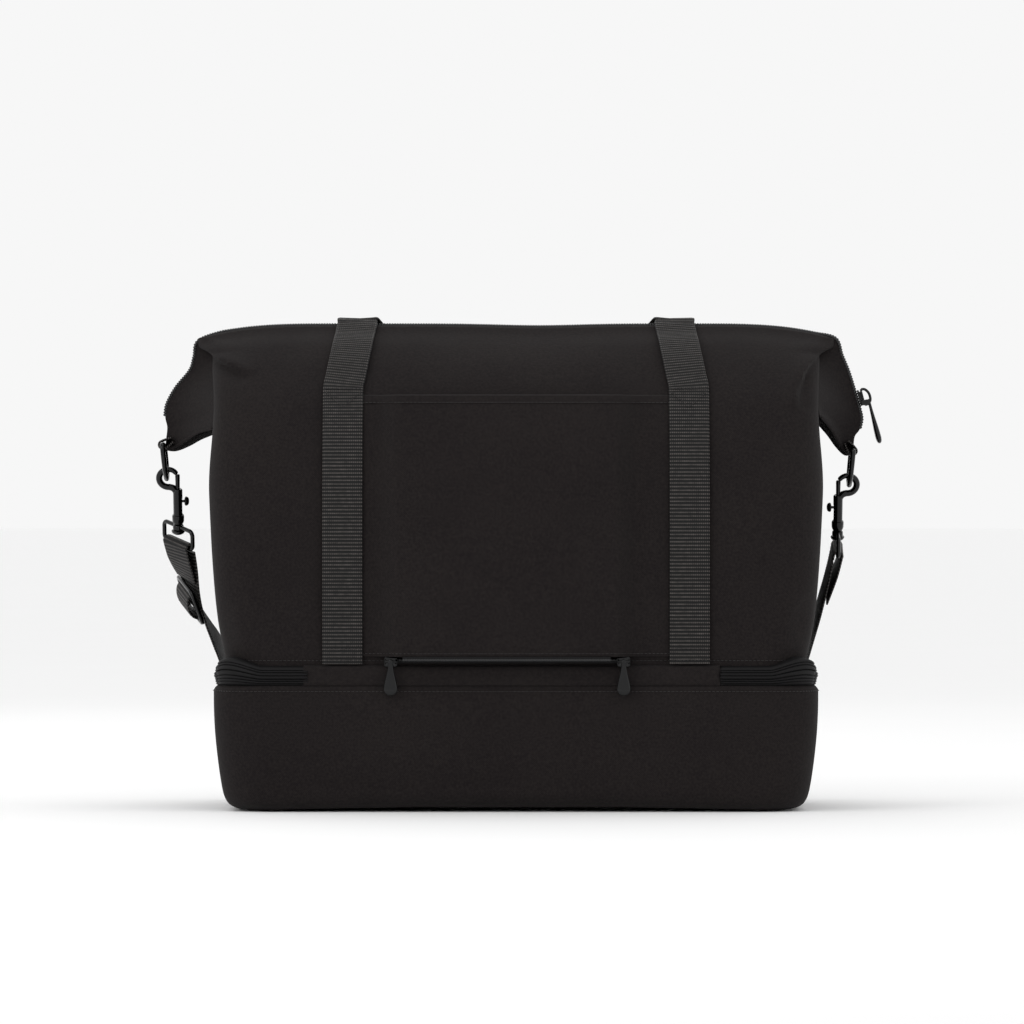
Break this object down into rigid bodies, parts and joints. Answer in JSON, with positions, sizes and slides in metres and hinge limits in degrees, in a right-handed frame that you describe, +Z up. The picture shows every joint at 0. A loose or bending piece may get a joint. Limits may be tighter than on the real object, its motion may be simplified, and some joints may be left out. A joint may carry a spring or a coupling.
{
  "type": "weekender bag",
  "caption": "Soft weekender bag with a zipped base compartment, folded side wings, carry handles, a clip-on shoulder strap and a rear sleeve for a trolley handle.",
  "frame": {"origin": "middle of the flat underside of the base compartment, on the surface that the bag stands on", "axes": "+Z up, +X along the bag, -Y towards the side with the trolley sleeve"},
  "size_m": [0.5835, 0.2898, 0.3952],
  "materials": {
    "canvas": "fine woven black cotton canvas, matt",
    "lining": "plain woven lining over a thin board",
    "webbing": "ribbed black nylon webbing",
    "zip_tape": "woven polyester zip tape",
    "zip_teeth": "black nylon coil",
    "black_metal": "gloss black plated zinc alloy",
    "stiffener": "plain board"
  },
  "bodies": {
    "base": {"base_shell": "canvas", "base_stiffener": "stiffener", "base_zip_lower": "zip_tape", "zip_end_left": "zip_tape", "zip_end_right": "zip_tape", "rear_hinge_strip": "canvas"},
    "upper": {"main_shell": "canvas", "divider": "lining", "base_zip_upper": "zip_tape", "top_zip_tape_rear": "zip_tape", "top_zip_tape_front": "zip_tape", "top_zip_chain": "zip_teeth", "wing_left": "canvas", "wing_right": "canvas", "ring_tab_left": "webbing", "ring_tab_right": "webbing", "trolley_sleeve": "canvas", "sleeve_zip_body_side": "zip_tape", "sleeve_zip_sleeve_side": "zip_tape", "rear_strap_left": "webbing", "rear_strap_right": "webbing", "front_strap_left": "webbing", "front_strap_right": "webbing"},
    "rear_handle": {"rear_handle": "webbing"},
    "front_handle": {"front_handle": "webbing"},
    "d_ring_left": {"d_ring_left": "black_metal"},
    "d_ring_right": {"d_ring_right": "black_metal"},
    "shoulder_strap": {"shoulder_strap": "webbing", "strap_fold_left": "webbing", "strap_fold_right": "webbing", "swivel_loop_left": "black_metal", "swivel_loop_right": "black_metal"},
    "hook_left": {"snap_hook_left": "black_metal"},
    "hook_right": {"snap_hook_right": "black_metal"},
    "bolt_left": {"snap_bolt_left": "black_metal"},
    "bolt_right": {"snap_bolt_right": "black_metal"},
    "adjuster": {"strap_adjuster": "black_metal"},
    "base_slider_left": {"base_slider_left": "black_metal"},
    "base_pull_left": {"base_pull_left": "black_metal"},
    "base_slider_right": {"base_slider_right": "black_metal"},
    "base_pull_right": {"base_pull_right": "black_metal"},
    "sleeve_slider_left": {"sleeve_slider_left": "black_metal"},
    "sleeve_pull_left": {"sleeve_pull_left": "black_metal"},
    "sleeve_slider_right": {"sleeve_slider_right": "black_metal"},
    "sleeve_pull_right": {"sleeve_pull_right": "black_metal"},
    "top_slider": {"top_slider": "black_metal"},
    "top_pull": {"top_pull": "black_metal"}
  },
  "joints": [
    {"name": "lid_hinge", "type": "hinge", "parent": "base", "child": "upper", "pos_m": [0, -0.104, 0.108], "axis": [1, 0, 0], "range_deg": [0, 90]},
    {"name": "rear_handle_fold", "type": "hinge", "parent": "upper", "child": "rear_handle", "pos_m": [0, 0, 0.3897], "axis": [1, 0, 0], "range_deg": [0, 85]},
    {"name": "front_handle_fold", "type": "hinge", "parent": "upper", "child": "front_handle", "pos_m": [0, 0.08, 0.3405], "axis": [1, 0, 0], "range_deg": [0, 125]},
    {"name": "d_ring_left_swing", "type": "hinge", "parent": "upper", "child": "d_ring_left", "pos_m": [-0.2838, 0, 0.291], "axis": [0, 1, 0], "range_deg": [-6, 0]},
    {"name": "d_ring_right_swing", "type": "hinge", "parent": "upper", "child": "d_ring_right", "pos_m": [0.2706, 0, 0.286], "axis": [0, 1, 0], "range_deg": [-2, 6]},
    {"name": "strap_swing", "type": "hinge", "parent": "upper", "child": "shoulder_strap", "pos_m": [-0.28287, 0, 0.282], "axis": [1, 0, -0.009], "range_deg": [0, 68]},
    {"name": "hook_left_swivel", "type": "hinge", "parent": "shoulder_strap", "child": "hook_left", "pos_m": [-0.2727, 0, 0.282], "axis": [0, 0.342, -0.9397], "range_deg": [-5, 3]},
    {"name": "hook_right_swivel", "type": "hinge", "parent": "shoulder_strap", "child": "hook_right", "pos_m": [0.2597, 0, 0.277], "axis": [0, 0.342, -0.9397], "range_deg": [-5, 5]},
    {"name": "bolt_left_slide", "type": "slide", "parent": "hook_left", "child": "bolt_left", "axis": [0, 0.342, -0.9397], "range_m": [0, 0.0075], "stiffness_N_per_m": 150, "springref_m": -0.004},
    {"name": "bolt_right_slide", "type": "slide", "parent": "hook_right", "child": "bolt_right", "axis": [0, 0.342, -0.9397], "range_m": [0, 0.0075], "stiffness_N_per_m": 150, "springref_m": -0.004},
    {"name": "adjuster_slide", "type": "slide", "parent": "shoulder_strap", "child": "adjuster", "axis": [0.2475, 0.4774, -0.8431], "range_m": [0, 0.012]},
    {"name": "base_slider_left_slide", "type": "slide", "parent": "base", "child": "base_slider_left", "axis": [-1, 0, 0], "range_m": [0, 0.185]},
    {"name": "base_pull_left_lift", "type": "hinge", "parent": "base_slider_left", "child": "base_pull_left", "pos_m": [-0.007, 0.1139, 0.1076], "axis": [1, 0, 0], "range_deg": [0, 110]},
    {"name": "base_slider_right_slide", "type": "slide", "parent": "base", "child": "base_slider_right", "axis": [1, 0, 0], "range_m": [0, 0.185]},
    {"name": "base_pull_right_lift", "type": "hinge", "parent": "base_slider_right", "child": "base_pull_right", "pos_m": [0.007, 0.1139, 0.1076], "axis": [1, 0, 0], "range_deg": [0, 110]},
    {"name": "sleeve_slider_left_slide", "type": "slide", "parent": "upper", "child": "sleeve_slider_left", "axis": [1, 0, 0], "range_m": [0, 0.084]},
    {"name": "sleeve_pull_left_lift", "type": "hinge", "parent": "sleeve_slider_left", "child": "sleeve_pull_left", "pos_m": [-0.099, -0.1144, 0.1188], "axis": [1, 0, 0], "range_deg": [-90, 0]},
    {"name": "sleeve_slider_right_slide", "type": "slide", "parent": "upper", "child": "sleeve_slider_right", "axis": [-1, 0, 0], "range_m": [0, 0.084]},
    {"name": "sleeve_pull_right_lift", "type": "hinge", "parent": "sleeve_slider_right", "child": "sleeve_pull_right", "pos_m": [0.085, -0.1144, 0.1188], "axis": [1, 0, 0], "range_deg": [-90, 0]},
    {"name": "top_slider_slide", "type": "slide", "parent": "upper", "child": "top_slider", "axis": [-0.2521, 0, 0.9677], "range_m": [0, 0.022]},
    {"name": "top_pull_lift", "type": "hinge", "parent": "top_slider", "child": "top_pull", "pos_m": [0.28409, 0, 0.32606], "axis": [0, 1, 0], "range_deg": [-110, 0]}
  ],
  "couplings": [
    {"joint": "sleeve_pull_left_lift", "follows": "lid_hinge", "ratio": -1},
    {"joint": "sleeve_pull_right_lift", "follows": "lid_hinge", "ratio": -1}
  ]
}
